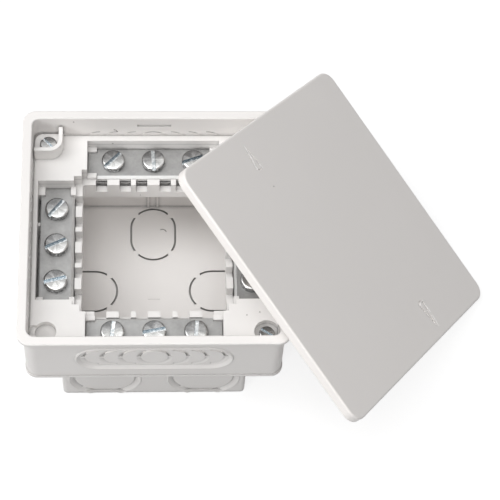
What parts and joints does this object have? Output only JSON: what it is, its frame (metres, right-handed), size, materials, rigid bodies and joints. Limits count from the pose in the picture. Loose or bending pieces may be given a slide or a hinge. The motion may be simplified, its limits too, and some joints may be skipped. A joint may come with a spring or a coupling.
{
  "type": "electrical mounting box",
  "caption": "Square moulded electrical mounting box with a deeper lower chamber, closed knock-outs, a terminal carrier with clamp screws and a loose square cover.",
  "frame": {"origin": "centre of the lower box's back face", "axes": "+Z out of the back face to the open side, +Y to the far side of the picture, +X to its right, where the loose cover leans"},
  "size_m": [0.1564, 0.1309, 0.0813],
  "materials": {
    "shell_plastic": "satin moulded",
    "carrier_plastic": "semi-gloss moulded",
    "cover_plastic": "semi-gloss moulded",
    "bar_zinc": "dull zinc plated",
    "screw_zinc": "bright zinc plated",
    "plate_zinc": "zinc plated"
  },
  "bodies": {
    "housing": {"box_shell": "shell_plastic", "terminal_carrier": "carrier_plastic", "cover": "cover_plastic", "terminal_bar_rear": "bar_zinc", "terminal_bar_left": "bar_zinc", "terminal_bar_front": "bar_zinc", "terminal_bar_right": "bar_zinc", "carrier_screw_rear_left": "screw_zinc", "carrier_screw_front_right": "screw_zinc"},
    "screw_rear_1": {"terminal_screw_rear_1": "screw_zinc"},
    "plate_rear_1": {"clamp_plate_rear_1": "plate_zinc"},
    "screw_rear_2": {"terminal_screw_rear_2": "screw_zinc"},
    "plate_rear_2": {"clamp_plate_rear_2": "plate_zinc"},
    "screw_rear_3": {"terminal_screw_rear_3": "screw_zinc"},
    "plate_rear_3": {"clamp_plate_rear_3": "plate_zinc"},
    "screw_left_1": {"terminal_screw_left_1": "screw_zinc"},
    "plate_left_1": {"clamp_plate_left_1": "plate_zinc"},
    "screw_left_2": {"terminal_screw_left_2": "screw_zinc"},
    "plate_left_2": {"clamp_plate_left_2": "plate_zinc"},
    "screw_left_3": {"terminal_screw_left_3": "screw_zinc"},
    "plate_left_3": {"clamp_plate_left_3": "plate_zinc"},
    "screw_front_1": {"terminal_screw_front_1": "screw_zinc"},
    "plate_front_1": {"clamp_plate_front_1": "plate_zinc"},
    "screw_front_2": {"terminal_screw_front_2": "screw_zinc"},
    "plate_front_2": {"clamp_plate_front_2": "plate_zinc"},
    "screw_front_3": {"terminal_screw_front_3": "screw_zinc"},
    "plate_front_3": {"clamp_plate_front_3": "plate_zinc"},
    "screw_right_1": {"terminal_screw_right_1": "screw_zinc"},
    "plate_right_1": {"clamp_plate_right_1": "plate_zinc"},
    "screw_right_2": {"terminal_screw_right_2": "screw_zinc"},
    "plate_right_2": {"clamp_plate_right_2": "plate_zinc"},
    "screw_right_3": {"terminal_screw_right_3": "screw_zinc"},
    "plate_right_3": {"clamp_plate_right_3": "plate_zinc"}
  },
  "joints": [
    {"name": "screw_rear_1_turn", "type": "hinge", "parent": "housing", "child": "screw_rear_1", "pos_m": [-0.0134, 0.0319, 0.0358], "axis": [0, 0, 1], "range_deg": [-440, 640]},
    {"name": "plate_rear_1_rise", "type": "slide", "parent": "housing", "child": "plate_rear_1", "axis": [0, 0, 1], "range_m": [-0.00117, 0.00078]},
    {"name": "screw_rear_2_turn", "type": "hinge", "parent": "housing", "child": "screw_rear_2", "pos_m": [0, 0.0319, 0.0358], "axis": [0, 0, 1], "range_deg": [-440, 640]},
    {"name": "plate_rear_2_rise", "type": "slide", "parent": "housing", "child": "plate_rear_2", "axis": [0, 0, 1], "range_m": [-0.00117, 0.00078]},
    {"name": "screw_rear_3_turn", "type": "hinge", "parent": "housing", "child": "screw_rear_3", "pos_m": [0.0134, 0.0319, 0.0358], "axis": [0, 0, 1], "range_deg": [-440, 640]},
    {"name": "plate_rear_3_rise", "type": "slide", "parent": "housing", "child": "plate_rear_3", "axis": [0, 0, 1], "range_m": [-0.00117, 0.00078]},
    {"name": "screw_left_1_turn", "type": "hinge", "parent": "housing", "child": "screw_left_1", "pos_m": [-0.0319, 0.0134, 0.0358], "axis": [0, 0, 1], "range_deg": [-440, 640]},
    {"name": "plate_left_1_rise", "type": "slide", "parent": "housing", "child": "plate_left_1", "axis": [0, 0, 1], "range_m": [-0.00117, 0.00078]},
    {"name": "screw_left_2_turn", "type": "hinge", "parent": "housing", "child": "screw_left_2", "pos_m": [-0.0319, 0, 0.0358], "axis": [0, 0, 1], "range_deg": [-440, 640]},
    {"name": "plate_left_2_rise", "type": "slide", "parent": "housing", "child": "plate_left_2", "axis": [0, 0, 1], "range_m": [-0.00117, 0.00078]},
    {"name": "screw_left_3_turn", "type": "hinge", "parent": "housing", "child": "screw_left_3", "pos_m": [-0.0319, -0.0134, 0.0358], "axis": [0, 0, 1], "range_deg": [-440, 640]},
    {"name": "plate_left_3_rise", "type": "slide", "parent": "housing", "child": "plate_left_3", "axis": [0, 0, 1], "range_m": [-0.00117, 0.00078]},
    {"name": "screw_front_1_turn", "type": "hinge", "parent": "housing", "child": "screw_front_1", "pos_m": [-0.0134, -0.0319, 0.0358], "axis": [0, 0, 1], "range_deg": [-440, 640]},
    {"name": "plate_front_1_rise", "type": "slide", "parent": "housing", "child": "plate_front_1", "axis": [0, 0, 1], "range_m": [-0.00117, 0.00078]},
    {"name": "screw_front_2_turn", "type": "hinge", "parent": "housing", "child": "screw_front_2", "pos_m": [0, -0.0319, 0.0358], "axis": [0, 0, 1], "range_deg": [-440, 640]},
    {"name": "plate_front_2_rise", "type": "slide", "parent": "housing", "child": "plate_front_2", "axis": [0, 0, 1], "range_m": [-0.00117, 0.00078]},
    {"name": "screw_front_3_turn", "type": "hinge", "parent": "housing", "child": "screw_front_3", "pos_m": [0.0134, -0.0319, 0.0358], "axis": [0, 0, 1], "range_deg": [-440, 640]},
    {"name": "plate_front_3_rise", "type": "slide", "parent": "housing", "child": "plate_front_3", "axis": [0, 0, 1], "range_m": [-0.00117, 0.00078]},
    {"name": "screw_right_1_turn", "type": "hinge", "parent": "housing", "child": "screw_right_1", "pos_m": [0.0319, 0.0134, 0.0358], "axis": [0, 0, 1], "range_deg": [-440, 640]},
    {"name": "plate_right_1_rise", "type": "slide", "parent": "housing", "child": "plate_right_1", "axis": [0, 0, 1], "range_m": [-0.00117, 0.00078]},
    {"name": "screw_right_2_turn", "type": "hinge", "parent": "housing", "child": "screw_right_2", "pos_m": [0.0319, 0, 0.0358], "axis": [0, 0, 1], "range_deg": [-440, 640]},
    {"name": "plate_right_2_rise", "type": "slide", "parent": "housing", "child": "plate_right_2", "axis": [0, 0, 1], "range_m": [-0.00117, 0.00078]},
    {"name": "screw_right_3_turn", "type": "hinge", "parent": "housing", "child": "screw_right_3", "pos_m": [0.0319, -0.0134, 0.0358], "axis": [0, 0, 1], "range_deg": [-440, 640]},
    {"name": "plate_right_3_rise", "type": "slide", "parent": "housing", "child": "plate_right_3", "axis": [0, 0, 1], "range_m": [-0.00117, 0.00078]}
  ],
  "couplings": [
    {"joint": "screw_rear_1_turn", "follows": "plate_rear_1_rise", "rad_per_m": -8976},
    {"joint": "screw_rear_2_turn", "follows": "plate_rear_2_rise", "rad_per_m": -8976},
    {"joint": "screw_rear_3_turn", "follows": "plate_rear_3_rise", "rad_per_m": -8976},
    {"joint": "screw_left_1_turn", "follows": "plate_left_1_rise", "rad_per_m": -8976},
    {"joint": "screw_left_2_turn", "follows": "plate_left_2_rise", "rad_per_m": -8976},
    {"joint": "screw_left_3_turn", "follows": "plate_left_3_rise", "rad_per_m": -8976},
    {"joint": "screw_front_1_turn", "follows": "plate_front_1_rise", "rad_per_m": -8976},
    {"joint": "screw_front_2_turn", "follows": "plate_front_2_rise", "rad_per_m": -8976},
    {"joint": "screw_front_3_turn", "follows": "plate_front_3_rise", "rad_per_m": -8976},
    {"joint": "screw_right_1_turn", "follows": "plate_right_1_rise", "rad_per_m": -8976},
    {"joint": "screw_right_2_turn", "follows": "plate_right_2_rise", "rad_per_m": -8976},
    {"joint": "screw_right_3_turn", "follows": "plate_right_3_rise", "rad_per_m": -8976}
  ]
}
